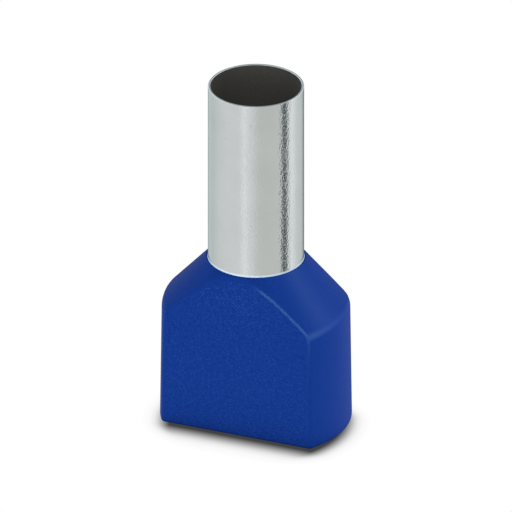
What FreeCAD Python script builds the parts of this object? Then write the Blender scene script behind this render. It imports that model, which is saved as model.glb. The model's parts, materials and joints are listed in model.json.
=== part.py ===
# Twin wire end sleeve: a tinned copper tube held in a hollow plastic collar that takes two insulated wires
# side by side. It stands on the open end of the collar with the tube upright. Z is the tube's axis, X the
# wide way of the collar, Y its thickness, and the origin lies in the middle of the collar's open end.
import FreeCAD, Part
from math import radians
import os
import Sketcher

os.makedirs("parts", exist_ok=True)
doc = FreeCAD.newDocument("WireEndSleeve")

# Driving sizes, in millimetres and degrees
sizes = doc.addObject("Spreadsheet::Sheet", "Sizes")
driving_sizes = [
    ("tubeDiameter", 7.05, "outside diameter of the tube"),
    ("tubeWall", 0.18, "wall of the drawn tube"),
    ("tubeExposed", 14.0, "bare length of tube above the collar"),
    ("tubeEmbedded", 2.6, "length of tube held in the neck"),
    ("tubeFlare", 0.1, "how much wider each side of the tube grows towards its foot"),
    ("flareRise", 0.05, "height above the collar where the flare starts"),
    ("rimOuterRound", 0.08, "rounding outside the cut ends of the tube"),
    ("rimInnerRound", 0.06, "rounding inside the cut ends of the tube"),
    ("collarHeight", 13.0, "height of the moulded collar"),
    ("collarWidth", 14.06, "width across the rounded ends, at the open end"),
    ("endDraft", 0.75, "draft of the rounded ends"),
    ("slopeHeight", 8.5, "height of the outline that the shoulders slope up from"),
    ("slopeReach", 0.71, "how far that outline stands outside the rounded ends"),
    ("slopeBend", 6.15, "radius of that outline's round ends"),
    ("shoulderRound", 1.0, "rounding of the shoulders' outer corner"),
    ("topLip", 0.04, "plastic left around the tube at the top, towards the flat faces"),
    ("topStretch", 0.1, "how much wider that plastic is towards the rounded ends"),
    ("neckWall", 0.22, "plastic between the tube and each flat face, at the top"),
    ("flatDraft", 0.5, "draft of the two flat faces"),
    ("edgeRound", 0.2, "rounding of the outer edges"),
    ("collarWall", 0.6, "wall around the wire entry"),
    ("funnelHeight", 2.0, "height of the funnel below the tube"),
    ("throatLip", 0.2, "how far the funnel's mouth stands inside the tube's bore"),
    ("coreRound", 2.2, "rounding of the entry's long corners"),
    ("entryRound", 0.15, "rounding of the entry's edge"),
]
for row, (alias, value, meaning) in enumerate(driving_sizes, start=1):
    sizes.set(f"A{row}", meaning)
    sizes.set(f"B{row}", str(value))
    sizes.setAlias(f"B{row}", alias)
doc.recompute()

# Places that several features share, worked out from the driving sizes
TUBE_OUTER = "Sizes.tubeDiameter / 2"
TUBE_INNER = "(Sizes.tubeDiameter / 2 - Sizes.tubeWall)"
TUBE_FOOT = "(Sizes.collarHeight - Sizes.tubeEmbedded)"
TUBE_TOP = "(Sizes.collarHeight + Sizes.tubeExposed)"
FLARE_TOP = "(Sizes.collarHeight + Sizes.flareRise)"
FOOT_OUTER = "(Sizes.tubeDiameter / 2 + Sizes.tubeFlare)"
FOOT_INNER = "(Sizes.tubeDiameter / 2 - Sizes.tubeWall + Sizes.tubeFlare)"
TOP_BEND = "(Sizes.tubeDiameter / 2 + Sizes.topLip)"
SLOPE_ACROSS = "(Sizes.collarWidth / 2 + Sizes.slopeReach)"
END_AT_TOP = "(Sizes.collarWidth / 2 - Sizes.collarHeight * tan(Sizes.endDraft))"
NECK_HALF = "(Sizes.tubeDiameter / 2 + Sizes.neckWall)"
FUNNEL_START = "(Sizes.collarHeight - Sizes.tubeEmbedded - Sizes.funnelHeight)"
THROAT_RADIUS = f"({TUBE_INNER} - Sizes.throatLip)"

# How far cutting outlines run past the part, and how near two heights are to be the same
CUT_MARGIN = 1.0
NEAR = 1e-4


def number(expression):
    return float(sizes.evalExpression(str(expression)))


def origin_plane(body, role):
    return next(plane for plane in body.Origin.OriginFeatures if plane.Role == role)


def new_sketch(body, name, role, height=0):
    sketch = body.newObject("Sketcher::SketchObject", name)
    sketch.AttachmentSupport = (origin_plane(body, role), [""])
    sketch.MapMode = "FlatFace"
    if height != 0:
        sketch.setExpression("AttachmentOffset.Base.z", height)
    return sketch


# A closed outline of straight lines whose corners follow the driving sizes
def draw_outline(sketch, corners):
    first = sketch.GeometryCount
    places = [FreeCAD.Vector(number(across), number(up), 0) for across, up in corners]
    count = len(corners)
    for i, place in enumerate(places):
        sketch.addGeometry(Part.LineSegment(place, places[(i + 1) % count]), False)
    for i in range(count):
        sketch.addConstraint(Sketcher.Constraint("Coincident", first + i, 2, first + (i + 1) % count, 1))
    for i, (across, up) in enumerate(corners):
        for kind, axis, expression in (("DistanceX", -2, across), ("DistanceY", -1, up)):
            if expression == 0:
                sketch.addConstraint(Sketcher.Constraint("PointOnObject", first + i, 1, axis))
                continue
            value = number(expression)
            index = sketch.addConstraint(Sketcher.Constraint(kind, -1, 1, first + i, 1, value))
            sketch.setExpression(f"Constraints[{index}]", str(expression))


def turned(body, name, corners, kind="PartDesign::Revolution"):
    sketch = new_sketch(body, name + "Profile", "XZ_Plane")
    draw_outline(sketch, corners)
    feature = body.newObject(kind, name)
    feature.Profile = sketch
    feature.ReferenceAxis = (sketch, ["V_Axis"])
    feature.Angle = 360
    sketch.Visibility = False
    doc.recompute()
    return feature


def rounded(body, base, name, edges, size):
    feature = body.newObject("PartDesign::Fillet", name)
    feature.Base = (base, edges)
    feature.setExpression("Radius", f"Sizes.{size}")
    doc.recompute()
    return feature


# Edge names picked by where the edges lie, so that they are found again after a size changes
def edges_at_height(shape, height, radius=None):
    names = []
    for i, edge in enumerate(shape.Edges, start=1):
        level = abs(edge.BoundBox.ZMin - height) < NEAR and abs(edge.BoundBox.ZMax - height) < NEAR
        if level and (radius is None or abs(edge.BoundBox.XMax - radius) < NEAR):
            names.append(f"Edge{i}")
    return names


# The edges where the rounded ends meet the slopes above them
def shoulder_edges(shape):
    low, high = number("Sizes.slopeHeight"), number("(Sizes.slopeHeight + Sizes.collarHeight) / 2")
    names = []
    for i, edge in enumerate(shape.Edges, start=1):
        box = edge.BoundBox
        across_end = abs(box.Center.x) > number(NECK_HALF) and abs(box.Center.y) < number(NECK_HALF) / 1.5
        if across_end and box.ZMin > low and box.ZMax < high and box.ZLength < box.YLength:
            names.append(f"Edge{i}")
    return names


def edges_of_flats(shape):
    flats = [face for face in shape.Faces if isinstance(face.Surface, Part.Plane)]
    flats = [face for face in flats if abs(face.normalAt(0, 0).y) > abs(face.normalAt(0, 0).z)]
    outline = [edge for face in flats for edge in face.Edges]
    return [f"Edge{i}" for i, edge in enumerate(shape.Edges, start=1)
            if any(edge.isSame(other) for other in outline)]


def must_shrink(feature, volume_before):
    if feature.Shape.Volume >= volume_before:
        raise RuntimeError(feature.Name + " removed nothing")


# The two flat faces of the collar, each with its draft, as one cut from side to side
def cut_flats(body):
    sketch = new_sketch(body, "FlatFacesOutline", "YZ_Plane")
    far = f"({NECK_HALF} + Sizes.collarWidth)"
    above = f"(Sizes.collarHeight + {CUT_MARGIN})"
    at_foot = f"({NECK_HALF} + (Sizes.collarHeight + {CUT_MARGIN}) * tan(Sizes.flatDraft))"
    at_head = f"({NECK_HALF} - {CUT_MARGIN} * tan(Sizes.flatDraft))"
    for side in (1, -1):
        draw_outline(sketch, [
            (f"{side} * {at_foot}", -CUT_MARGIN),
            (f"{side} * {at_head}", above),
            (f"{side} * {far}", above),
            (f"{side} * {far}", -CUT_MARGIN),
        ])
    before = body.Tip.Shape.Volume
    feature = body.newObject("PartDesign::Pocket", "FlatFaces")
    feature.Profile = sketch
    feature.Type = "Length"
    feature.setExpression("Length", "2 * Sizes.collarWidth")
    feature.Midplane = True
    sketch.Visibility = False
    doc.recompute()
    must_shrink(feature, before)
    return feature


# One level outline of the plastic around the shoulders: all that lies outside an oval with round ends
def around_shoulders(body, name, height, across, bend):
    sketch = new_sketch(body, name, "XY_Plane", height)
    far = "Sizes.collarWidth"
    draw_outline(sketch, [(f"-{far}", f"-{far}"), (far, f"-{far}"), (far, far), (f"-{far}", far)])
    middle = number(f"{across} - {bend}")
    radius = number(bend)
    up = FreeCAD.Vector(0, 0, 1)
    first = sketch.GeometryCount
    for side, turn in ((1, -90), (-1, 90)):
        line = Part.LineSegment(FreeCAD.Vector(-side * middle, -side * radius, 0),
                                FreeCAD.Vector(side * middle, -side * radius, 0))
        circle = Part.Circle(FreeCAD.Vector(side * middle, 0, 0), up, radius)
        sketch.addGeometry(line, False)
        sketch.addGeometry(Part.ArcOfCircle(circle, radians(turn), radians(turn + 180)), False)
    for i in range(4):
        sketch.addConstraint(Sketcher.Constraint("Tangent", first + i, 2, first + (i + 1) % 4, 1))
    sketch.addConstraint(Sketcher.Constraint("Horizontal", first))
    sketch.addConstraint(Sketcher.Constraint("Equal", first + 1, first + 3))
    sketch.addConstraint(Sketcher.Constraint("Symmetric", first + 1, 3, first + 3, 3, -1, 1))
    for kind, place, expression in (("DistanceX", (-1, 1, first + 1, 3, middle), f"{across} - {bend}"),
                                    ("Radius", (first + 1, radius), bend)):
        index = sketch.addConstraint(Sketcher.Constraint(kind, *place))
        sketch.setExpression(f"Constraints[{index}]", expression)
    return sketch


# A level section of the wire entry: straight sides, straight ends and round corners, parallel to the
# collar's own drafted faces
def oval_section(body, name, height):
    across = f"(Sizes.collarWidth / 2 - Sizes.collarWall - {height} * tan(Sizes.endDraft))"
    thick = f"({NECK_HALF} - Sizes.collarWall + (Sizes.collarHeight - {height}) * tan(Sizes.flatDraft))"
    half_across, half_thick, corner = number(across), number(thick), number("Sizes.coreRound")
    run = half_across - corner
    rise = half_thick - corner
    sketch = new_sketch(body, name, "XY_Plane", height)
    corners = [(run, -rise, -90), (run, rise, 0), (-run, rise, 90), (-run, -rise, 180)]
    starts = [(-run, -half_thick), (half_across, -rise), (run, half_thick), (-half_across, rise)]
    ends = [(run, -half_thick), (half_across, rise), (-run, half_thick), (-half_across, -rise)]
    up = FreeCAD.Vector(0, 0, 1)
    for start, end, (x, y, angle) in zip(starts, ends, corners):
        sketch.addGeometry(Part.LineSegment(FreeCAD.Vector(*start, 0), FreeCAD.Vector(*end, 0)), False)
        circle = Part.Circle(FreeCAD.Vector(x, y, 0), up, corner)
        sketch.addGeometry(Part.ArcOfCircle(circle, radians(angle), radians(angle + 90)), False)
    count = sketch.GeometryCount
    for i in range(count):
        sketch.addConstraint(Sketcher.Constraint("Tangent", i, 2, (i + 1) % count, 1))
    for line, kind in ((0, "Horizontal"), (2, "Vertical"), (4, "Horizontal"), (6, "Vertical")):
        sketch.addConstraint(Sketcher.Constraint(kind, line))
    for arc in (3, 5, 7):
        sketch.addConstraint(Sketcher.Constraint("Equal", 1, arc))
    sketch.addConstraint(Sketcher.Constraint("Symmetric", 1, 3, 5, 3, -1, 1))
    for constraint, expression in (
        (Sketcher.Constraint("DistanceX", -1, 1, 2, 1, half_across), across),
        (Sketcher.Constraint("DistanceY", -1, 1, 4, 1, half_thick), thick),
        (Sketcher.Constraint("Radius", 1, corner), "Sizes.coreRound"),
    ):
        index = sketch.addConstraint(constraint)
        sketch.setExpression(f"Constraints[{index}]", expression)
    return sketch


def lofted_cut(body, name, lower, upper):
    doc.recompute()
    before = body.Tip.Shape.Volume
    feature = body.newObject("PartDesign::SubtractiveLoft", name)
    feature.Profile = lower
    feature.Sections = [upper]
    feature.Ruled = True
    lower.Visibility = False
    upper.Visibility = False
    doc.recompute()
    must_shrink(feature, before)
    return feature


# Tube: drawn thin, with both cut ends softened, and flared a little where the neck holds it
def make_tube():
    body = doc.addObject("PartDesign::Body", "MetalTube")
    body.Label = "metal_tube"
    wall = turned(body, "TubeWall", [
        (FOOT_INNER, TUBE_FOOT),
        (FOOT_OUTER, TUBE_FOOT),
        (TUBE_OUTER, FLARE_TOP),
        (TUBE_OUTER, TUBE_TOP),
        (TUBE_INNER, TUBE_TOP),
        (TUBE_INNER, FLARE_TOP),
    ])
    outer = edges_at_height(wall.Shape, number(TUBE_TOP), number(TUBE_OUTER))
    outside = rounded(body, wall, "RimOutside", outer, "rimOuterRound")
    inner = edges_at_height(outside.Shape, number(TUBE_TOP), number(TUBE_INNER))
    inner += edges_at_height(outside.Shape, number(TUBE_FOOT), number(FOOT_INNER))
    rounded(body, outside, "RimInside", inner, "rimInnerRound")
    return body


# Collar: the outside first, then the wire entry and its funnel, then the seat that grips the tube
def make_collar():
    body = doc.addObject("PartDesign::Body", "PlasticCollar")
    body.Label = "plastic_collar"
    turned(body, "RoundedEnds", [
        (0, 0),
        ("Sizes.collarWidth / 2", 0),
        (END_AT_TOP, "Sizes.collarHeight"),
        (0, "Sizes.collarHeight"),
    ])
    cut_flats(body)
    below = around_shoulders(body, "AroundSlopeFoot", "Sizes.slopeHeight", SLOPE_ACROSS, "Sizes.slopeBend")
    above = around_shoulders(body, "AroundSlopeTop", "Sizes.collarHeight",
                             f"({TOP_BEND} + Sizes.topStretch)", TOP_BEND)
    slopes = lofted_cut(body, "Slopes", below, above)
    shoulders = rounded(body, slopes, "ShoulderCorner", shoulder_edges(slopes.Shape), "shoulderRound")
    outer_edges = set(edges_of_flats(shoulders.Shape)) | set(edges_at_height(shoulders.Shape, 0))
    rounded(body, shoulders, "OuterEdges", sorted(outer_edges), "edgeRound")

    mouth = oval_section(body, "EntryMouth", 0)
    funnel_start = oval_section(body, "FunnelStart", FUNNEL_START)
    throat = new_sketch(body, "Throat", "XY_Plane", TUBE_FOOT)
    throat.addGeometry(Part.Circle(FreeCAD.Vector(), FreeCAD.Vector(0, 0, 1), number(THROAT_RADIUS)), False)
    throat.addConstraint(Sketcher.Constraint("Coincident", 0, 3, -1, 1))
    throat.addConstraint(Sketcher.Constraint("Radius", 0, number(THROAT_RADIUS)))
    throat.setExpression("Constraints[1]", THROAT_RADIUS)
    lofted_cut(body, "WireEntry", mouth, funnel_start)
    funnel = lofted_cut(body, "Funnel", funnel_start, throat)

    seat = turned(body, "TubeSeat", [
        (0, TUBE_FOOT),
        (FOOT_OUTER, TUBE_FOOT),
        (TUBE_OUTER, FLARE_TOP),
        (TUBE_OUTER, f"(Sizes.collarHeight + {CUT_MARGIN})"),
        (0, f"(Sizes.collarHeight + {CUT_MARGIN})"),
    ], "PartDesign::Groove")
    must_shrink(seat, funnel.Shape.Volume)
    foot_ring = next(face for face in seat.Shape.Faces if abs(face.BoundBox.ZMax) < NEAR)
    inner_wire = min(foot_ring.Wires, key=lambda wire: wire.BoundBox.XLength)
    entry_edges = [f"Edge{i}" for i, edge in enumerate(seat.Shape.Edges, start=1)
                   if any(edge.isSame(other) for other in inner_wire.Edges)]
    rounded(body, seat, "EntryEdge", entry_edges, "entryRound")
    return body


tube = make_tube()
collar = make_collar()
doc.recompute()

for item in doc.Objects:
    if "Invalid" in item.State or "Error" in item.State:
        raise RuntimeError(item.Name + " failed to compute")
for piece in (tube, collar):
    shape = piece.Shape
    if shape.isNull() or not shape.isValid() or len(shape.Solids) != 1:
        raise RuntimeError(piece.Label + " is not one valid solid")
    shape.exportStep(f"parts/{piece.Label}.step")
    print(piece.Label, "volume", round(shape.Volume, 3))
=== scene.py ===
import json
from math import atan2, cos, hypot, pi, radians, sin, tan

import bmesh
import bpy
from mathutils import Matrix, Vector, noise


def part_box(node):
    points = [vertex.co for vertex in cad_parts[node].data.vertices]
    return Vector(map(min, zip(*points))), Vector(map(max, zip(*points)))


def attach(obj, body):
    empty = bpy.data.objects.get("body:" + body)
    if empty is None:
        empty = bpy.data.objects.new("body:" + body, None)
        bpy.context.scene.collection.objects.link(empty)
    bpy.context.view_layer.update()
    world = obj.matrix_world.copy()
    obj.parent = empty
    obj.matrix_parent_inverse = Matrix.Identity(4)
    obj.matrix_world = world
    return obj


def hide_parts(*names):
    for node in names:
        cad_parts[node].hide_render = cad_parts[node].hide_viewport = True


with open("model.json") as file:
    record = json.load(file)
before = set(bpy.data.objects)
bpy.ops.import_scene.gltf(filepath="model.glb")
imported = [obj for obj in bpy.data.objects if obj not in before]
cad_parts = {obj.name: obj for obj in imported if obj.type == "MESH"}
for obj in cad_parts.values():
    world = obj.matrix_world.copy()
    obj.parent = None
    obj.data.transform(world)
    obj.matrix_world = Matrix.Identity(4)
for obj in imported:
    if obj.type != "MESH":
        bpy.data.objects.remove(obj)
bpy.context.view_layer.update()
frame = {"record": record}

# A wire end sleeve for two wires, standing on the open end of its blue collar with its tinned tube up.
# Metres and degrees. X is the wide way of the collar, Y its thickness, Z the tube's axis.
mm = 0.001
hair = 0.000001   # what lies closer than this is in the same place
mounts = {mount["name"]: mount for mount in frame["record"]["mounts"]}
tubeRadius = mounts["terminal_end"]["dims"]["r_mm"] * mm
boreRadius = mounts["conductor_bore"]["dims"]["r_mm"] * mm
tubeFoot, tubeTop = (corner.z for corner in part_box("metal_tube"))
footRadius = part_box("metal_tube")[1].x
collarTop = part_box("plastic_collar")[1].z


# Shader helpers

def addNode(tree, kind, place, **settings):
    node = tree.nodes.new(kind)
    node.location = place
    for name, value in settings.items():
        setattr(node, name, value)
    return node


def newGroup(name, inputs, outputs):
    tree = bpy.data.node_groups.new(name, "ShaderNodeTree")
    for socketName, socketType, value in inputs:
        socket = tree.interface.new_socket(socketName, in_out="INPUT", socket_type=socketType)
        if value is not None:
            socket.default_value = value
    for socketName, socketType in outputs:
        tree.interface.new_socket(socketName, in_out="OUTPUT", socket_type=socketType)
    start = addNode(tree, "NodeGroupInput", (-900, 0))
    end = addNode(tree, "NodeGroupOutput", (700, 0))
    return tree, start, end


def useGroup(tree, group, place, values):
    node = addNode(tree, "ShaderNodeGroup", place, node_tree=group)
    for name, value in values.items():
        node.inputs[name].default_value = value
    return node


def newMaterial(name, specular=0.5, tint=(1, 1, 1, 1)):
    material = bpy.data.materials.new(name)
    material.use_nodes = True
    tree = material.node_tree
    shader = tree.nodes["Principled BSDF"]
    shader.inputs["Specular IOR Level"].default_value = specular
    shader.inputs["Specular Tint"].default_value = tint
    return material, tree, shader


def fillRamp(ramp, stops):
    ramp.interpolation = "LINEAR"
    while len(ramp.elements) > 1:
        ramp.elements.remove(ramp.elements[-1])
    for index, (position, colour) in enumerate(stops):
        element = ramp.elements[0] if index == 0 else ramp.elements.new(position)
        element.position = position
        element.color = colour


# Fine grain: two sizes of noise as one height, and a soft patchiness for colour and gloss
def makeGrainGroup():
    tree, start, end = newGroup(
        "fineGrain",
        [("Vector", "NodeSocketVector", None), ("Grain Scale", "NodeSocketFloat", 9000.0),
         ("Patch Scale", "NodeSocketFloat", 600.0), ("Coarse Share", "NodeSocketFloat", 0.4)],
        [("Height", "NodeSocketFloat"), ("Patches", "NodeSocketFloat")])
    fine = addNode(tree, "ShaderNodeTexNoise", (-600, 200))
    fine.inputs["Detail"].default_value = 2.0
    coarse = addNode(tree, "ShaderNodeTexNoise", (-600, -50))
    coarse.inputs["Detail"].default_value = 1.0
    coarseScale = addNode(tree, "ShaderNodeMath", (-760, -50), operation="MULTIPLY")
    coarseScale.inputs[1].default_value = 0.37   # the coarse noise is almost three times as large
    patches = addNode(tree, "ShaderNodeTexNoise", (-600, -300))
    patches.inputs["Detail"].default_value = 3.0
    mix = addNode(tree, "ShaderNodeMix", (-300, 100))
    links = tree.links
    for node in (fine, coarse, patches):
        links.new(start.outputs["Vector"], node.inputs["Vector"])
    links.new(start.outputs["Grain Scale"], fine.inputs["Scale"])
    links.new(start.outputs["Grain Scale"], coarseScale.inputs[0])
    links.new(coarseScale.outputs[0], coarse.inputs["Scale"])
    links.new(start.outputs["Patch Scale"], patches.inputs["Scale"])
    links.new(start.outputs["Coarse Share"], mix.inputs["Factor"])
    links.new(fine.outputs["Fac"], mix.inputs["A"])
    links.new(coarse.outputs["Fac"], mix.inputs["B"])
    links.new(mix.outputs["Result"], end.inputs["Height"])
    links.new(patches.outputs["Fac"], end.inputs["Patches"])
    return tree


# Scattered specks: a few of the cells of a Voronoi pattern get a small round dot
def makeSpeckGroup():
    tree, start, end = newGroup(
        "scatteredSpecks",
        [("Vector", "NodeSocketVector", None), ("Scale", "NodeSocketFloat", 4000.0),
         ("Share", "NodeSocketFloat", 0.15), ("Size", "NodeSocketFloat", 0.3)],
        [("Mask", "NodeSocketFloat")])
    cells = addNode(tree, "ShaderNodeTexVoronoi", (-650, 100))
    split = addNode(tree, "ShaderNodeSeparateColor", (-500, 200))
    chosen = addNode(tree, "ShaderNodeMath", (-350, 200), operation="LESS_THAN")
    dot = addNode(tree, "ShaderNodeMapRange", (-350, -50), interpolation_type="SMOOTHSTEP")
    dot.inputs["To Min"].default_value = 1.0
    dot.inputs["To Max"].default_value = 0.0
    both = addNode(tree, "ShaderNodeMath", (-100, 100), operation="MULTIPLY")
    strength = addNode(tree, "ShaderNodeMath", (100, 100), operation="MULTIPLY")
    links = tree.links
    links.new(start.outputs["Vector"], cells.inputs["Vector"])
    links.new(start.outputs["Scale"], cells.inputs["Scale"])
    links.new(cells.outputs["Color"], split.inputs[0])
    links.new(split.outputs[0], chosen.inputs[0])
    links.new(start.outputs["Share"], chosen.inputs[1])
    links.new(cells.outputs["Distance"], dot.inputs["Value"])
    links.new(start.outputs["Size"], dot.inputs["From Max"])
    links.new(chosen.outputs[0], both.inputs[0])
    links.new(dot.outputs[0], both.inputs[1])
    links.new(both.outputs[0], strength.inputs[0])
    links.new(split.outputs[1], strength.inputs[1])
    links.new(strength.outputs[0], end.inputs["Mask"])
    return tree


# Worn edges with painted highlights: the piece's own edge mask, broken up by noise
def makeWearAndHighlightGroup():
    tree, start, end = newGroup(
        "wornEdgeAndHighlight",
        [("Vector", "NodeSocketVector", None), ("Edge", "NodeSocketFloat", 0.0),
         ("Break Scale", "NodeSocketFloat", 3000.0), ("Amount", "NodeSocketFloat", 0.5)],
        [("Mask", "NodeSocketFloat")])
    breaks = addNode(tree, "ShaderNodeTexNoise", (-600, -100))
    breaks.inputs["Detail"].default_value = 3.0
    shape = addNode(tree, "ShaderNodeMapRange", (-350, -100), interpolation_type="SMOOTHSTEP")
    shape.inputs["From Min"].default_value = 0.3
    shape.inputs["From Max"].default_value = 0.58
    held = addNode(tree, "ShaderNodeMath", (-100, 0), operation="MULTIPLY")
    scaled = addNode(tree, "ShaderNodeMath", (150, 0), operation="MULTIPLY", use_clamp=True)
    links = tree.links
    links.new(start.outputs["Vector"], breaks.inputs["Vector"])
    links.new(start.outputs["Break Scale"], breaks.inputs["Scale"])
    links.new(breaks.outputs["Fac"], shape.inputs["Value"])
    links.new(shape.outputs[0], held.inputs[0])
    links.new(start.outputs["Edge"], held.inputs[1])
    links.new(held.outputs[0], scaled.inputs[0])
    links.new(start.outputs["Amount"], scaled.inputs[1])
    links.new(scaled.outputs[0], end.inputs["Mask"])
    return tree


fineGrain = makeGrainGroup()
scatteredSpecks = makeSpeckGroup()
wornEdgeAndHighlight = makeWearAndHighlightGroup()

tinFinish = {
    "tin": (0.73, 0.745, 0.735, 1),
    "dullTin": (0.63, 0.645, 0.63, 1),
    # painted shade: the bore's tin is darkened for its depth
    "boreTinWithPaintedShade": (0.24, 0.232, 0.215, 1),
    "pit": (0.25, 0.25, 0.25, 1),
    "grain": {"Grain Scale": 6000.0, "Patch Scale": 500.0, "Coarse Share": 0.15},
    "pits": {"Scale": 3000.0, "Share": 0.1, "Size": 0.2},
    "patchSpan": (0.3, 0.7),   # between these the patches go from glossy to duller
    "roughLow": 0.05,
    "roughHigh": 0.12,
    "boreRough": 0.5,
    "footRough": 0.5,
    # Painted glow: light of their own for the bore, the foot and the rim
    "boreGlow": 0.012,
    "boreTint": (1, 0.96, 0.88, 1),
    "footGlow": 0.34,          # painted glow on the foot, standing in for light that the blue collar throws back
    "footTint": (0.4, 0.68, 1, 1),
    "grainDepth": 0.000024,
}


def makeTinMaterial():
    material, tree, shader = newMaterial("tinnedCopper")
    links = tree.links
    shader.inputs["Metallic"].default_value = 1.0
    place = addNode(tree, "ShaderNodeTexCoord", (-1300, 0))
    grain = useGroup(tree, fineGrain, (-1000, 200), tinFinish["grain"])
    pits = useGroup(tree, scatteredSpecks, (-1000, -100), tinFinish["pits"])
    bore = addNode(tree, "ShaderNodeAttribute", (-1000, -350), attribute_name="bore")
    foot = addNode(tree, "ShaderNodeAttribute", (-1000, -550), attribute_name="foot")
    for node in (grain, pits):
        links.new(place.outputs["Object"], node.inputs["Vector"])

    # Colour: patches of duller tin, a few pits, and a browner bore, darkened as painted shade of the deep
    # bore
    tin = addNode(tree, "ShaderNodeMix", (-700, 300), data_type="RGBA")
    tin.inputs["A"].default_value = tinFinish["dullTin"]
    tin.inputs["B"].default_value = tinFinish["tin"]
    pitted = addNode(tree, "ShaderNodeMix", (-500, 200), data_type="RGBA")
    pitted.inputs["B"].default_value = tinFinish["pit"]
    inside = addNode(tree, "ShaderNodeMix", (-300, 100), data_type="RGBA")
    inside.inputs["B"].default_value = tinFinish["boreTinWithPaintedShade"]
    links.new(grain.outputs["Patches"], tin.inputs["Factor"])
    links.new(tin.outputs["Result"], pitted.inputs["A"])
    links.new(pits.outputs["Mask"], pitted.inputs["Factor"])
    links.new(pitted.outputs["Result"], inside.inputs["A"])
    links.new(bore.outputs["Fac"], inside.inputs["Factor"])
    links.new(inside.outputs["Result"], shader.inputs["Base Color"])

    # Gloss: bright outside, dull in the bore, at the rim and at the foot
    gloss = addNode(tree, "ShaderNodeMapRange", (-700, 0))
    gloss.inputs["From Min"].default_value = tinFinish["patchSpan"][0]
    gloss.inputs["From Max"].default_value = tinFinish["patchSpan"][1]
    gloss.inputs["To Min"].default_value = tinFinish["roughLow"]
    gloss.inputs["To Max"].default_value = tinFinish["roughHigh"]
    dullBore = addNode(tree, "ShaderNodeMix", (-500, -50))
    dullBore.inputs["B"].default_value = tinFinish["boreRough"]
    dullFoot = addNode(tree, "ShaderNodeMix", (-300, -50))
    dullFoot.inputs["B"].default_value = tinFinish["footRough"]
    links.new(grain.outputs["Patches"], gloss.inputs["Value"])
    links.new(gloss.outputs[0], dullBore.inputs["A"])
    links.new(bore.outputs["Fac"], dullBore.inputs["Factor"])
    links.new(dullBore.outputs["Result"], dullFoot.inputs["A"])
    links.new(foot.outputs["Fac"], dullFoot.inputs["Factor"])
    links.new(dullFoot.outputs["Result"], shader.inputs["Roughness"])

    # Painted glow: a little light of its own in the bore, and a bluer, stronger painted glow at the foot and
    # the rim, standing in for light the blue collar throws back
    footGlow = addNode(tree, "ShaderNodeMath", (-500, -500), operation="MULTIPLY")
    footGlow.inputs[1].default_value = tinFinish["footGlow"]
    glow = addNode(tree, "ShaderNodeMath", (-300, -450), operation="MULTIPLY_ADD")
    glow.inputs[1].default_value = tinFinish["boreGlow"]
    glowTint = addNode(tree, "ShaderNodeMix", (-500, -700), data_type="RGBA")
    glowTint.inputs["A"].default_value = tinFinish["boreTint"]
    glowTint.inputs["B"].default_value = tinFinish["footTint"]
    links.new(foot.outputs["Fac"], footGlow.inputs[0])
    links.new(bore.outputs["Fac"], glow.inputs[0])
    links.new(footGlow.outputs[0], glow.inputs[2])
    links.new(glow.outputs[0], shader.inputs["Emission Strength"])
    links.new(foot.outputs["Fac"], glowTint.inputs["Factor"])
    links.new(glowTint.outputs["Result"], shader.inputs["Emission Color"])

    bump = addNode(tree, "ShaderNodeBump", (-300, -200))
    bump.inputs["Distance"].default_value = tinFinish["grainDepth"]
    links.new(grain.outputs["Height"], bump.inputs["Height"])
    links.new(bump.outputs[0], shader.inputs["Normal"])
    return material


plasticFinish = {
    "blue": (0.0095, 0.050, 0.315, 1),
    "deepBlue": (0.0045, 0.030, 0.220, 1),
    "speckAndSparkleBlue": (0.14, 0.27, 0.66, 1),
    "wornHighlightBlue": (0.075, 0.17, 0.48, 1),
    "specular": 0.03,
    "gleam": (0.35, 0.7, 1, 1),
    "rough": 0.6,
    "smooth": 0.45,
    "grain": {"Grain Scale": 12000.0, "Patch Scale": 700.0},
    "grainSpan": (0.32, 0.68),   # between these heights of the grain the blue changes
    "smoothShare": 0.35,         # how much of that change shows off the flat faces
    "specks": {"Scale": 10500.0, "Share": 0.48, "Size": 0.42},
    "paintedSparkleSpot": (0, -0.0038, 0.0105),   # painted sparkle: the specks are strongest here, high on the front
    "spotReach": 0.006,
    "farSpecks": 0.35,
    "wearAndHighlight": {"Break Scale": 14000.0, "Amount": 0.6},
    "wearAndHighlightThinning": 8.0,         # keeps the wear and its painted highlight to the middle of a rounded edge
    "footHeight": 0.00025,       # nothing gleams below this height, next to the table
    "erodedDepth": 0.00002,
    "smoothDepth": 0.000004,
}


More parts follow.
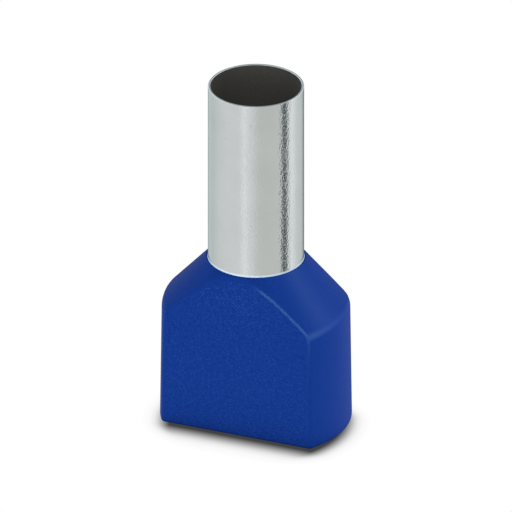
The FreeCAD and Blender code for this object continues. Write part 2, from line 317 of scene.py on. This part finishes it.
def makePlasticMaterial():
    material, tree, shader = newMaterial("bluePlastic", plasticFinish["specular"], plasticFinish["gleam"])
    links = tree.links
    place = addNode(tree, "ShaderNodeTexCoord", (-1500, 0))
    eroded = addNode(tree, "ShaderNodeAttribute", (-1200, -300), attribute_name="eroded")
    edge = addNode(tree, "ShaderNodeAttribute", (-1500, -500), attribute_name="edge")
    shoulderHighlight = addNode(tree, "ShaderNodeAttribute", (-900, -500), attribute_name="shoulderHighlight")
    grain = useGroup(tree, fineGrain, (-1200, 300), plasticFinish["grain"])
    specks = useGroup(tree, scatteredSpecks, (-1200, 0), plasticFinish["specks"])
    wearAndHighlight = useGroup(tree, wornEdgeAndHighlight, (-1200, -500), plasticFinish["wearAndHighlight"])
    for node in (grain, specks, wearAndHighlight):
        links.new(place.outputs["Object"], node.inputs["Vector"])

    # Two blues mixed by the grain, strongly on the spark-eroded flats and weakly elsewhere
    contrast = addNode(tree, "ShaderNodeMapRange", (-1050, 400))
    contrast.inputs["From Min"].default_value = plasticFinish["grainSpan"][0]
    contrast.inputs["From Max"].default_value = plasticFinish["grainSpan"][1]
    contrast.inputs["To Min"].default_value = -0.5
    contrast.inputs["To Max"].default_value = 0.5
    share = addNode(tree, "ShaderNodeMapRange", (-1050, 150))
    share.inputs["To Min"].default_value = plasticFinish["smoothShare"]
    blend = addNode(tree, "ShaderNodeMath", (-950, 400), operation="MULTIPLY_ADD")
    blend.inputs[2].default_value = 0.5
    base = addNode(tree, "ShaderNodeMix", (-900, 300), data_type="RGBA")
    base.inputs["A"].default_value = plasticFinish["deepBlue"]
    base.inputs["B"].default_value = plasticFinish["blue"]
    links.new(grain.outputs["Height"], contrast.inputs["Value"])
    links.new(eroded.outputs["Fac"], share.inputs["Value"])
    links.new(contrast.outputs[0], blend.inputs[0])
    links.new(share.outputs[0], blend.inputs[1])
    links.new(blend.outputs[0], base.inputs["Factor"])

    # Pale specks on the flats, partly the eroded grain and partly painted sparkle, fewer away from the
    # painted bright spot
    spot = addNode(tree, "ShaderNodeVectorMath", (-1350, -150), operation="DISTANCE")
    spot.inputs[1].default_value = plasticFinish["paintedSparkleSpot"]
    fewer = addNode(tree, "ShaderNodeMapRange", (-1150, -150), interpolation_type="SMOOTHSTEP")
    fewer.inputs["From Max"].default_value = plasticFinish["spotReach"]
    fewer.inputs["To Min"].default_value = 1.0
    fewer.inputs["To Max"].default_value = plasticFinish["farSpecks"]
    nearSpot = addNode(tree, "ShaderNodeMath", (-1000, -150), operation="MULTIPLY")
    onFlats = addNode(tree, "ShaderNodeMath", (-900, 0), operation="MULTIPLY")
    specked = addNode(tree, "ShaderNodeMix", (-650, 200), data_type="RGBA")
    specked.inputs["B"].default_value = plasticFinish["speckAndSparkleBlue"]
    links.new(place.outputs["Object"], spot.inputs[0])
    links.new(spot.outputs["Value"], fewer.inputs["Value"])
    links.new(specks.outputs["Mask"], nearSpot.inputs[0])
    links.new(fewer.outputs[0], nearSpot.inputs[1])
    links.new(nearSpot.outputs[0], onFlats.inputs[0])
    links.new(eroded.outputs["Fac"], onFlats.inputs[1])
    links.new(onFlats.outputs[0], specked.inputs["Factor"])
    links.new(base.outputs["Result"], specked.inputs["A"])

    # Worn edges that also carry painted highlights, and the painted highlight line round the right shoulder
    thin = addNode(tree, "ShaderNodeMath", (-1350, -500), operation="POWER")
    thin.inputs[1].default_value = plasticFinish["wearAndHighlightThinning"]
    pale = addNode(tree, "ShaderNodeMath", (-650, -550), operation="MAXIMUM")
    wornAndHighlit = addNode(tree, "ShaderNodeMix", (-400, 150), data_type="RGBA")
    wornAndHighlit.inputs["B"].default_value = plasticFinish["wornHighlightBlue"]
    links.new(edge.outputs["Fac"], thin.inputs[0])
    links.new(thin.outputs[0], wearAndHighlight.inputs["Edge"])
    links.new(wearAndHighlight.outputs["Mask"], pale.inputs[0])
    links.new(shoulderHighlight.outputs["Fac"], pale.inputs[1])
    links.new(pale.outputs[0], wornAndHighlit.inputs["Factor"])
    links.new(specked.outputs["Result"], wornAndHighlit.inputs["A"])
    links.new(wornAndHighlit.outputs["Result"], shader.inputs["Base Color"])

    # Gloss: matt flats, smoother ends, and no gleam next to the table
    gloss = addNode(tree, "ShaderNodeMapRange", (-650, -100))
    gloss.inputs["To Min"].default_value = plasticFinish["smooth"]
    gloss.inputs["To Max"].default_value = plasticFinish["rough"]
    parts = addNode(tree, "ShaderNodeSeparateXYZ", (-900, -650))
    nearFoot = addNode(tree, "ShaderNodeMapRange", (-650, -650))
    nearFoot.inputs["From Max"].default_value = plasticFinish["footHeight"]
    nearFoot.inputs["To Max"].default_value = plasticFinish["specular"]
    links.new(eroded.outputs["Fac"], gloss.inputs["Value"])
    links.new(gloss.outputs[0], shader.inputs["Roughness"])
    links.new(place.outputs["Object"], parts.inputs[0])
    links.new(parts.outputs["Z"], nearFoot.inputs["Value"])
    links.new(nearFoot.outputs[0], shader.inputs["Specular IOR Level"])

    # The grain stands out on the flats
    depth = addNode(tree, "ShaderNodeMapRange", (-650, -400))
    depth.inputs["To Min"].default_value = plasticFinish["smoothDepth"] / plasticFinish["erodedDepth"]
    height = addNode(tree, "ShaderNodeMath", (-400, -300), operation="MULTIPLY")
    bump = addNode(tree, "ShaderNodeBump", (-200, -200))
    bump.inputs["Distance"].default_value = plasticFinish["erodedDepth"]
    links.new(eroded.outputs["Fac"], depth.inputs["Value"])
    links.new(grain.outputs["Height"], height.inputs[0])
    links.new(depth.outputs[0], height.inputs[1])
    links.new(height.outputs[0], bump.inputs["Height"])
    links.new(bump.outputs[0], shader.inputs["Normal"])
    return material


# Mesh helpers

def finishPiece(name, bm, material, nodeName):
    bmesh.ops.remove_doubles(bm, verts=bm.verts, dist=hair / 2)
    bmesh.ops.recalc_face_normals(bm, faces=bm.faces)
    for face in bm.faces:
        face.smooth = True
    mesh = bpy.data.meshes.new(name)
    bm.to_mesh(mesh)
    bm.free()
    mesh.materials.append(material)
    piece = bpy.data.objects.new(name, mesh)
    bpy.context.scene.collection.objects.link(piece)
    normals = piece.modifiers.new("faceNormals", "WEIGHTED_NORMAL")
    normals.weight = 100
    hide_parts(nodeName)
    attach(piece, "root")
    return piece


# A closed section in the XZ plane from its corners; rounds holds a rounding for some of the corners
def drawSection(bm, corners, rounds):
    verts = [bm.verts.new((across, 0, up)) for across, up in corners]
    bm.faces.new(verts)
    for index, (size, steps) in rounds.items():
        bmesh.ops.bevel(bm, geom=[verts[index]], offset=size, segments=steps, profile=0.5,
                        affect="VERTICES", material=-1)


def spinSection(bm, steps):
    edges = bm.edges[:]
    bmesh.ops.delete(bm, geom=bm.faces[:], context="FACES_ONLY")
    bmesh.ops.spin(bm, geom=edges, cent=(0, 0, 0), axis=(0, 0, 1), dvec=(0, 0, 0), angle=2 * pi,
                   steps=steps, use_merge=True, use_duplicate=False)


# Cuts off what lies on the normal's side of a plane and closes the cut with one face
def sliceOff(bm, point, normal):
    geometry = bm.verts[:] + bm.edges[:] + bm.faces[:]
    cut = bmesh.ops.bisect_plane(bm, geom=geometry, dist=hair / 10, plane_co=point,
                                 plane_no=normal, clear_outer=True)
    edges = [item for item in cut["geom_cut"] if isinstance(item, bmesh.types.BMEdge)]
    bmesh.ops.edgeloop_fill(bm, edges=edges)


def openEdges(bm, height):
    return [edge for edge in bm.edges if len(edge.link_faces) < 2
            and all(abs(vert.co.z - height) < hair for vert in edge.verts)]


def facesAt(bm, height):
    return [face for face in bm.faces if all(abs(vert.co.z - height) < hair for vert in face.verts)]


# How far a value has come from one end to the other, from 0 to 1
def shareBetween(value, start, end):
    return min(max((value - start) / (end - start), 0), 1)


tube = {
    "steps": 240,
    "outerRound": 0.08 * mm,
    "innerRound": 0.06 * mm,
    "flareHeight": 0.12 * mm,
    "flareWidth": 0.035 * mm,
    "rimPaintedGlow": 0.5,           # painted highlight on the rim, half as strong as the foot's painted glow
    "nickScale": 2600,
    "nickLimit": 0.35,         # only noise above this makes a nick
    "nickDepth": 0.06 * mm,
    "nickReach": 0.12 * mm,
}


def makeTube(material):
    wall = tubeRadius - boreRadius
    flareTop = collarTop + tube["flareHeight"]
    bm = bmesh.new()
    drawSection(bm, [
        (footRadius - wall, tubeFoot),
        (footRadius, tubeFoot),
        (tubeRadius + tube["flareWidth"], collarTop),
        (tubeRadius, flareTop),
        (tubeRadius, tubeTop),
        (boreRadius, tubeTop),
        (boreRadius, flareTop),
        (boreRadius + tube["flareWidth"], collarTop),
    ], {0: (tube["innerRound"], 3), 3: (tube["flareHeight"] / 2, 4),
        4: (tube["outerRound"], 4), 5: (tube["innerRound"], 3)})
    spinSection(bm, tube["steps"])

    # Masks for the material, and small nicks round the rim
    bore = bm.verts.layers.float.new("bore")
    foot = bm.verts.layers.float.new("foot")
    middle = (tubeRadius + boreRadius) / 2
    for vert in bm.verts:
        out = Vector((vert.co.x, vert.co.y, 0))
        low = tubeTop - vert.co.z
        # The bore mask darkens the bore as painted shade and gives it a faint painted glow
        if out.length < middle and low > tube["innerRound"] / 2:
            vert[bore] = 1.0
        # The foot mask gives the flare a painted glow and duller gloss, and the rim half of both, the glow
        # there a painted highlight
        if vert.co.z < flareTop + hair and out.length > middle:
            vert[foot] = 1.0
        elif low < tube["outerRound"] / 2:
            vert[foot] = tube["rimPaintedGlow"]
        if low < tube["nickReach"]:
            nick = max(noise.noise(out * tube["nickScale"]) - tube["nickLimit"], 0)
            vert.co.z -= nick * tube["nickDepth"] * (1 - low / tube["nickReach"])
    return finishPiece("tinnedTube", bm, material, "metal_tube")


collar = {
    "steps": 76,
    "width": 14.06 * mm,
    "endDraft": 0.75,
    "slopeHeight": 8.5 * mm,
    "slopeReach": 0.71 * mm,
    "slopeBend": 6.15 * mm,
    "shoulderRound": 1.0 * mm,
    "shoulderTurn": 42.0,
    "topLip": 0.04 * mm,
    "topStretch": 0.1 * mm,
    "neckWall": 0.22 * mm,
    "flatDraft": 0.5,
    "edgeRound": 0.2 * mm,
    "wall": 0.6 * mm,
    "funnelHeight": 2.0 * mm,
    "throatLip": 0.2 * mm,
    "coreRound": 2.2 * mm,
    "entryRound": 0.15 * mm,
    "spareFoot": 1.0 * mm,     # how far the turned blank runs below the base before it is cut
}
baseRadius = collar["width"] / 2
endSlope = tan(radians(collar["endDraft"]))
flatSlope = tan(radians(collar["flatDraft"]))
neckHalf = tubeRadius + collar["neckWall"]
seatRadius = tubeRadius + tube["flareWidth"]
throatRadius = boreRadius - collar["throatLip"]
blankFoot = -collar["spareFoot"]
blankRadius = baseRadius - blankFoot * endSlope

# Where the collar is paler than its blue: worn edges with painted highlights, and a painted highlight line on
# the right shoulder
paleness = {
    "lineHeight": 9.38 * mm,   # the painted highlight line round the right shoulder, highest in its middle
    "lineDip": 0.3 * mm,
    "lineSpan": 3.78 * mm,
    "lineReach": 0.4 * mm,
    "lineBack": 0.1,
    "lineFront": 0.35,
    "archFoot": 9.2 * mm,      # the front's upper outline lies above this
    "archLeft": 0.5,
    "archRight": 1.0,
    "creaseLeft": 0.8,
    "creaseRight": 0.9,
}


# A point on the sloping shoulders: angle runs round the oval's end, share runs from its foot to its top
def slopePoint(angle, share):
    topBend = tubeRadius + collar["topLip"]
    bend = collar["slopeBend"] + (topBend - collar["slopeBend"]) * share
    footMiddle = collar["width"] / 2 + collar["slopeReach"] - collar["slopeBend"]
    middle = footMiddle + (collar["topStretch"] - footMiddle) * share
    across = 0 if cos(angle) < 0.001 else middle + bend * cos(angle)
    height = collar["slopeHeight"] + (collarTop - collar["slopeHeight"]) * share
    return Vector((across, bend * sin(angle), height))


# Where a shoulder's straight line meets the rounded end below it, found by halving
def shoulderPoint(angle):
    low, high = -2.0, 1.0
    for _ in range(40):
        middle = (low + high) / 2
        place = slopePoint(angle, middle)
        if hypot(place.x, place.y) > baseRadius - place.z * endSlope:
            low = middle
        else:
            high = middle
    return slopePoint(angle, low)


# How worn an edge is, with its painted highlight: most along the right side of the front's upper outline,
# least at the foot
def wearAndHighlightAt(place):
    if place.z > paleness["archFoot"]:
        right = shareBetween(place.x, 0.5 * mm, 2.0 * mm)
        return paleness["archLeft"] + (paleness["archRight"] - paleness["archLeft"]) * right
    crease = paleness["creaseRight"] if place.x > 0 else paleness["creaseLeft"]
    return crease * shareBetween(place.z, 1.0 * mm, 3.0 * mm)


# Painted highlight on the right shoulder: a soft pale line, strongest towards the front
def shoulderHighlightAt(place):
    if place.x <= 0:
        return 0
    line = paleness["lineHeight"] - paleness["lineDip"] * (place.y / paleness["lineSpan"]) ** 2
    near = max(1 - abs(place.z - line) / paleness["lineReach"], 0)
    front = shareBetween(-place.y, 0, 3.0 * mm)
    return near * (paleness["lineBack"] + (paleness["lineFront"] - paleness["lineBack"]) * front)


# A round blank, open below, with the tube's seat and the throat already in it
def turnBlank():
    bm = bmesh.new()
    drawSection(bm, [
        (throatRadius, blankFoot),
        (blankRadius, blankFoot),
        (baseRadius, collar["slopeHeight"]),
        (tubeRadius + collar["topLip"], collarTop),
        (seatRadius, collarTop),
        (footRadius, tubeFoot),
        (throatRadius, tubeFoot),
    ], {})
    inner = [edge for edge in bm.edges if all(abs(vert.co.x - throatRadius) < hair for vert in edge.verts)]
    bmesh.ops.delete(bm, geom=bm.faces[:], context="FACES_ONLY")
    bmesh.ops.delete(bm, geom=inner, context="EDGES")
    spinSection(bm, collar["steps"])
    bmesh.ops.remove_doubles(bm, verts=bm.verts, dist=hair / 2)
    return bm


# Draws the blank out to the oval slopes and rounds the corner below them
def shapeShoulders(bm):
    shoulder = set()
    for vert in bm.verts:
        radius = hypot(vert.co.x, vert.co.y)
        atTop = abs(vert.co.z - collarTop) < hair
        if atTop and radius < seatRadius + hair:
            continue
        angle = atan2(vert.co.y, abs(vert.co.x))
        side = 1 if vert.co.x > 0 else -1
        corner = shoulderPoint(angle)
        if atTop:
            place = slopePoint(angle, 1)
        elif abs(vert.co.z - collar["slopeHeight"]) < hair:
            place = corner
            shoulder.add(vert)
        elif radius > baseRadius - hair:
            grow = blankRadius / hypot(corner.x, corner.y)
            place = Vector((corner.x * grow, corner.y * grow, blankFoot))
        else:
            continue
        vert.co = Vector((place.x * side, place.y, place.z))
    ring = [edge for edge in bm.edges if all(vert in shoulder for vert in edge.verts)]
    bm.verts.layers.float.new("edge")
    shoulderHighlight = bm.verts.layers.float.new("shoulderHighlight")
    setback = collar["shoulderRound"] * tan(radians(collar["shoulderTurn"] / 2))
    rounded = bmesh.ops.bevel(bm, geom=ring, offset=setback, segments=6, profile=0.5,
                              affect="EDGES", material=-1)["faces"]
    rounded = set(rounded)
    # Painted highlight: a soft pale line on the right shoulder's rounding
    for vert in bm.verts:
        if all(face in rounded for face in vert.link_faces):
            vert[shoulderHighlight] = shoulderHighlightAt(vert.co)


# Cuts the two flat faces and the base, rounds their edges and marks the wear and painted highlight on those
# edges
def cutFlats(bm):
    bmesh.ops.edgeloop_fill(bm, edges=openEdges(bm, blankFoot))
    lean = radians(collar["flatDraft"])
    for side in (1, -1):
        sliceOff(bm, (0, side * neckHalf, collarTop), (0, side * cos(lean), sin(lean)))
    sliceOff(bm, (0, 0, 0), (0, 0, -1))

    flats = [face for face in bm.faces if abs(face.normal.y) > 0.99 and len(face.verts) > 8]
    outlined = set(flats + facesAt(bm, 0))
    outline = [edge for edge in bm.edges if any(face in outlined for face in edge.link_faces)]
    rounded = bmesh.ops.bevel(bm, geom=outline, offset=collar["edgeRound"], segments=4, profile=0.5,
                              affect="EDGES", material=-1)["faces"]
    rounded = set(rounded)
    edgeMask = bm.verts.layers.float["edge"]
    shoulderHighlight = bm.verts.layers.float["shoulderHighlight"]
    eroded = bm.verts.layers.float.new("eroded")
    # Wear and painted highlight along the rounded edges
    for vert in bm.verts:
        if vert.link_faces and all(face in rounded for face in vert.link_faces):
            vert[edgeMask] = wearAndHighlightAt(vert.co)
    for face in bm.faces:
        if face not in rounded and abs(face.normal.y) > 0.99 and len(face.verts) > 8:
            for vert in face.verts:
                vert[eroded] = 1.0
                vert[shoulderHighlight] = 0.0


# The wire entry, from its mouth up to the funnel, and the funnel up to the tube's bore
def openEntry(bm):
    bmesh.ops.delete(bm, geom=facesAt(bm, 0), context="FACES_ONLY")
    funnelStart = tubeFoot - collar["funnelHeight"]
    mouthX = baseRadius - collar["wall"]
    mouthY = neckHalf - collar["wall"] + collarTop * flatSlope
    startX = mouthX - funnelStart * endSlope
    startY = mouthY - funnelStart * flatSlope
    mouth = bmesh.ops.create_grid(bm, x_segments=1, y_segments=1, size=1)["verts"]
    bmesh.ops.scale(bm, vec=(mouthX, mouthY, 1), verts=mouth)
    bmesh.ops.bevel(bm, geom=mouth, offset=collar["coreRound"], segments=collar["steps"] // 4 - 1,
                    profile=0.5, affect="VERTICES", material=-1)
    mouthFace = facesAt(bm, 0)
    lifted = bmesh.ops.extrude_face_region(bm, geom=mouthFace)["geom"]
    liftedVerts = [item for item in lifted if isinstance(item, bmesh.types.BMVert)]
    bmesh.ops.scale(bm, vec=(startX / mouthX, startY / mouthY, 1), verts=liftedVerts)
    bmesh.ops.translate(bm, vec=(0, 0, funnelStart), verts=liftedVerts)
    top = [item for item in lifted if isinstance(item, bmesh.types.BMFace)]
    mouthFace = [face for face in mouthFace if face.is_valid]
    bmesh.ops.delete(bm, geom=top + mouthFace, context="FACES_ONLY")
    bmesh.ops.bridge_loops(bm, edges=openEdges(bm, funnelStart) + openEdges(bm, tubeFoot))
    entryEdges = [edge for edge in openEdges(bm, 0)
                  if all(abs(vert.co.x) < mouthX + hair and abs(vert.co.y) < mouthY + hair
                         for vert in edge.verts)]
    bmesh.ops.bridge_loops(bm, edges=openEdges(bm, 0))
    bmesh.ops.bevel(bm, geom=entryEdges, offset=collar["entryRound"], segments=3, profile=0.5,
                    affect="EDGES", material=-1)


def makeCollar(material):
    bm = turnBlank()
    shapeShoulders(bm)
    cutFlats(bm)
    openEntry(bm)
    return finishPiece("moulded_collar", bm, material, "plastic_collar")


tinned, blue = makeTinMaterial(), makePlasticMaterial()
print("materials made")
makeTube(tinned)
plasticCollar = makeCollar(blue)
print("tube and collar made")


# Camera: level with the photograph's view, far off, so that upright edges stay parallel
cameraView = {
    "azimuth": 22.65,
    "elevation": 27.0,
    "aimHeight": 12.974 * mm,
    "width": 37.48 * mm,
    "distance": 0.3,
}


def viewDirection(azimuth, elevation):
    turn, lift = radians(azimuth), radians(elevation)
    return Vector((sin(turn) * cos(lift), -cos(turn) * cos(lift), sin(lift)))


def makeCamera():
    data = bpy.data.cameras.new("studioCamera")
    data.type = "ORTHO"
    data.ortho_scale = cameraView["width"]
    data.clip_start = 0.001
    data.clip_end = 10
    camera = bpy.data.objects.new("studioCamera", data)
    bpy.context.scene.collection.objects.link(camera)
    towards = viewDirection(cameraView["azimuth"], cameraView["elevation"])
    camera.location = Vector((0, 0, cameraView["aimHeight"])) + towards * cameraView["distance"]
    camera.rotation_mode = "QUATERNION"
    camera.rotation_quaternion = (-towards).to_track_quat("-Z", "Y")
    bpy.context.scene.camera = camera


makeCamera()


# Studio: a pale table in a ring of light, with a dark gap at the right and another behind.
# ringTurns gives the light at each azimuth; heights and mirrored give its strength at each height, from
# -1 straight down to 1 straight up, for soft light and for what the metal mirrors.
studio = {
    "tableSize": 1.2,
    "ringTurns": [
        (-180, (0.30, 0.31, 0.33)), (-165, (0.14, 0.15, 0.16)), (-150, (0.16, 0.17, 0.18)),
        (-137, (0.60, 0.66, 0.67)), (-126, (0.635, 0.70, 0.71)), (-106, (0.625, 0.69, 0.70)),
        (-79, (0.765, 0.79, 0.805)), (-50, (0.835, 0.85, 0.865)), (-25, (0.815, 0.835, 0.855)),
        (-17, (0.83, 0.853, 0.865)), (-10.5, (0.86, 0.88, 0.90)), (-8, (1.02, 1.04, 1.06)),
        (-3, (1.02, 1.04, 1.06)), (0, (0.87, 0.885, 0.91)), (5, (0.86, 0.875, 0.90)),
        (12, (0.83, 0.845, 0.86)), (26, (0.70, 0.72, 0.71)), (42, (0.675, 0.70, 0.685)),
        (70, (0.69, 0.71, 0.70)), (88, (0.71, 0.73, 0.73)), (90, (0.06, 0.07, 0.08)),
        (97.5, (0.08, 0.095, 0.10)), (109, (0.78, 0.83, 0.84)), (114, (1.0, 1.03, 1.05)),
        (121, (0.98, 1.01, 1.03)), (127, (0.86, 0.91, 0.91)), (138, (0.74, 0.80, 0.80)),
        (152, (0.68, 0.74, 0.74)), (165, (0.66, 0.70, 0.73)), (180, (0.30, 0.31, 0.33)),
    ],
    "heights": [(-1.0, 1.0), (-0.05, 1.0), (0.08, 1.2), (0.62, 1.0), (0.85, 0.6), (1.0, 0.6)],
    "mirrored": [(-1.0, 0.985), (-0.1, 0.985), (0.1, 1.2), (0.55, 1.2), (0.7, 0.5), (1.0, 0.3)],
    "gleam": {"azimuth": 113.0, "elevation": 36.0, "strength": 2.8, "spread": 12.0},
    "lamp": {"azimuth": 132.0, "elevation": 38.0, "strength": 1.2, "spread": 25.0},
    "key": {"azimuth": -1.0, "elevation": 40.0, "strength": 0.35, "spread": 8.0},
    "lampDistance": 0.2,
    # The painted shadow on the table: its shift, where it starts and how far it reaches, and its shades
    "shadowShift": (0.44 * mm, -0.99 * mm, 0),
    "shadowEnds": (6.41 * mm, 2.17 * mm),    # where the shadow starts and how far it reaches, at the ends
    "shadowSides": (3.08 * mm, 3.27 * mm),   # and at the flat sides
    "shades": [(0.0, 0.055), (0.1, 0.175), (0.2, 0.34), (0.3, 0.53), (0.4, 0.72), (0.5, 0.85),
               (0.65, 0.945), (0.95, 1.0)],
}


def makeWorld():
    world = bpy.data.worlds.new("lightRing")
    bpy.context.scene.world = world
    world.use_nodes = True
    tree = world.node_tree
    links = tree.links
    out = tree.nodes["World Output"]
    place = addNode(tree, "ShaderNodeTexCoord", (-1300, 0))
    split = addNode(tree, "ShaderNodeSeparateXYZ", (-1100, 0))
    seen = addNode(tree, "ShaderNodeLightPath", (-300, 400))
    links.new(place.outputs["Generated"], split.inputs[0])

    # The ring's colour, by azimuth
    flip = addNode(tree, "ShaderNodeMath", (-900, -100), operation="MULTIPLY")
    flip.inputs[1].default_value = -1.0
    turn = addNode(tree, "ShaderNodeMath", (-700, 0), operation="ARCTAN2")
    share = addNode(tree, "ShaderNodeMapRange", (-500, 0))
    share.inputs["From Min"].default_value = -pi
    share.inputs["From Max"].default_value = pi
    ring = addNode(tree, "ShaderNodeValToRGB", (-300, 100))
    fillRamp(ring.color_ramp, [((angle + 180) / 360, colour + (1,)) for angle, colour in studio["ringTurns"]])
    links.new(split.outputs["X"], turn.inputs[0])
    links.new(split.outputs["Y"], flip.inputs[0])
    links.new(flip.outputs[0], turn.inputs[1])
    links.new(turn.outputs[0], share.inputs["Value"])
    links.new(share.outputs[0], ring.inputs[0])

    # Its strength, by height
    lift = addNode(tree, "ShaderNodeMapRange", (-500, -300))
    lift.inputs["From Min"].default_value = -1.0
    strength = addNode(tree, "ShaderNodeMix", (0, -300), data_type="RGBA")
    strongest = max(value for _, value in studio["heights"])
    for row, name, socket in ((-300, "heights", "A"), (-550, "mirrored", "B")):
        profile = addNode(tree, "ShaderNodeValToRGB", (-300, row))
        fillRamp(profile.color_ramp, [((height + 1) / 2, (value / strongest,) * 3 + (1,))
                                      for height, value in studio[name]])
        links.new(lift.outputs[0], profile.inputs[0])
        links.new(profile.outputs[0], strength.inputs[socket])
    links.new(split.outputs["Z"], lift.inputs["Value"])
    links.new(seen.outputs["Is Glossy Ray"], strength.inputs["Factor"])
    both = addNode(tree, "ShaderNodeMix", (0, 0), data_type="RGBA", blend_type="MULTIPLY")
    both.inputs["Factor"].default_value = 1.0
    links.new(ring.outputs[0], both.inputs["A"])
    links.new(strength.outputs["Result"], both.inputs["B"])

    # The camera sees plain white behind the sleeve
    back = tree.nodes["Background"]
    back.inputs["Strength"].default_value = strongest
    plain = addNode(tree, "ShaderNodeBackground", (0, 200))
    plain.inputs["Color"].default_value = (1, 1, 1, 1)
    pick = addNode(tree, "ShaderNodeMixShader", (300, 100))
    links.new(both.outputs["Result"], back.inputs["Color"])
    links.new(seen.outputs["Is Camera Ray"], pick.inputs[0])
    links.new(back.outputs[0], pick.inputs[1])
    links.new(plain.outputs[0], pick.inputs[2])
    links.new(pick.outputs[0], out.inputs["Surface"])


# The table is evenly pale, with a painted shadow that darkens it towards the collar's outline, as in soft
# light from the back left
def makeTableMaterial():
    material = bpy.data.materials.new("paleTable")
    material.use_nodes = True
    tree = material.node_tree
    links = tree.links
    tree.nodes.remove(tree.nodes["Principled BSDF"])
    spot = addNode(tree, "ShaderNodeTexCoord", (-1100, 0))
    moved = addNode(tree, "ShaderNodeVectorMath", (-950, 0), operation="SUBTRACT")
    moved.inputs[1].default_value = studio["shadowShift"]
    away = addNode(tree, "ShaderNodeVectorMath", (-800, 150), operation="LENGTH")
    parts = addNode(tree, "ShaderNodeSeparateXYZ", (-800, -150))
    side = addNode(tree, "ShaderNodeMath", (-650, -150), operation="ABSOLUTE")
    both = addNode(tree, "ShaderNodeCombineXYZ", (-350, 0))
    fade = addNode(tree, "ShaderNodeVectorMath", (-200, 0), operation="LENGTH")
    shade = addNode(tree, "ShaderNodeValToRGB", (-50, 0))
    fillRamp(shade.color_ramp, [(place, (value,) * 3 + (1,)) for place, value in studio["shades"]])
    glow = addNode(tree, "ShaderNodeEmission", (250, 0))
    links.new(spot.outputs["Object"], moved.inputs[0])
    links.new(moved.outputs[0], away.inputs[0])
    links.new(moved.outputs[0], parts.inputs[0])
    links.new(parts.outputs["Y"], side.inputs[0])
    for index, (output, (half, reach)) in enumerate(((away.outputs["Value"], studio["shadowEnds"]),
                                                     (side.outputs[0], studio["shadowSides"]))):
        beyond = addNode(tree, "ShaderNodeMapRange", (-500, 150 - 300 * index))
        beyond.inputs["From Min"].default_value = half
        beyond.inputs["From Max"].default_value = half + reach
        links.new(output, beyond.inputs["Value"])
        links.new(beyond.outputs[0], both.inputs[index])
    links.new(both.outputs[0], fade.inputs[0])
    links.new(fade.outputs["Value"], shade.inputs[0])
    links.new(shade.outputs[0], glow.inputs["Color"])
    links.new(glow.outputs[0], tree.nodes["Material Output"].inputs["Surface"])
    return material


def makeTable():
    bm = bmesh.new()
    bmesh.ops.create_grid(bm, x_segments=1, y_segments=1, size=studio["tableSize"] / 2)
    mesh = bpy.data.meshes.new("paleTable")
    bm.to_mesh(mesh)
    bm.free()
    mesh.materials.append(makeTableMaterial())
    table = bpy.data.objects.new("paleTable", mesh)
    bpy.context.scene.collection.objects.link(table)
    table.visible_glossy = False


# A soft far lamp that lights one piece; a gleam only shows in what that piece mirrors
def makeSun(name, settings, piece, gleam=False):
    data = bpy.data.lights.new(name, "SUN")
    data.energy = settings["strength"]
    data.angle = radians(settings["spread"])
    lamp = bpy.data.objects.new(name, data)
    bpy.context.scene.collection.objects.link(lamp)
    towards = viewDirection(settings["azimuth"], settings["elevation"])
    lamp.location = towards * studio["lampDistance"]
    lamp.rotation_mode = "QUATERNION"
    lamp.rotation_quaternion = (-towards).to_track_quat("-Z", "Y")
    lamp.visible_diffuse = not gleam
    receivers = bpy.data.collections.new(name)
    receivers.objects.link(piece)
    lamp.light_linking.receiver_collection = receivers


makeWorld()
makeTable()
makeSun("sideLamp", studio["lamp"], plasticCollar)
makeSun("frontLamp", studio["key"], plasticCollar)
makeSun("gleamLamp", studio["gleam"], plasticCollar, gleam=True)
bpy.context.scene.view_settings.view_transform = "Standard"
print("studio made")
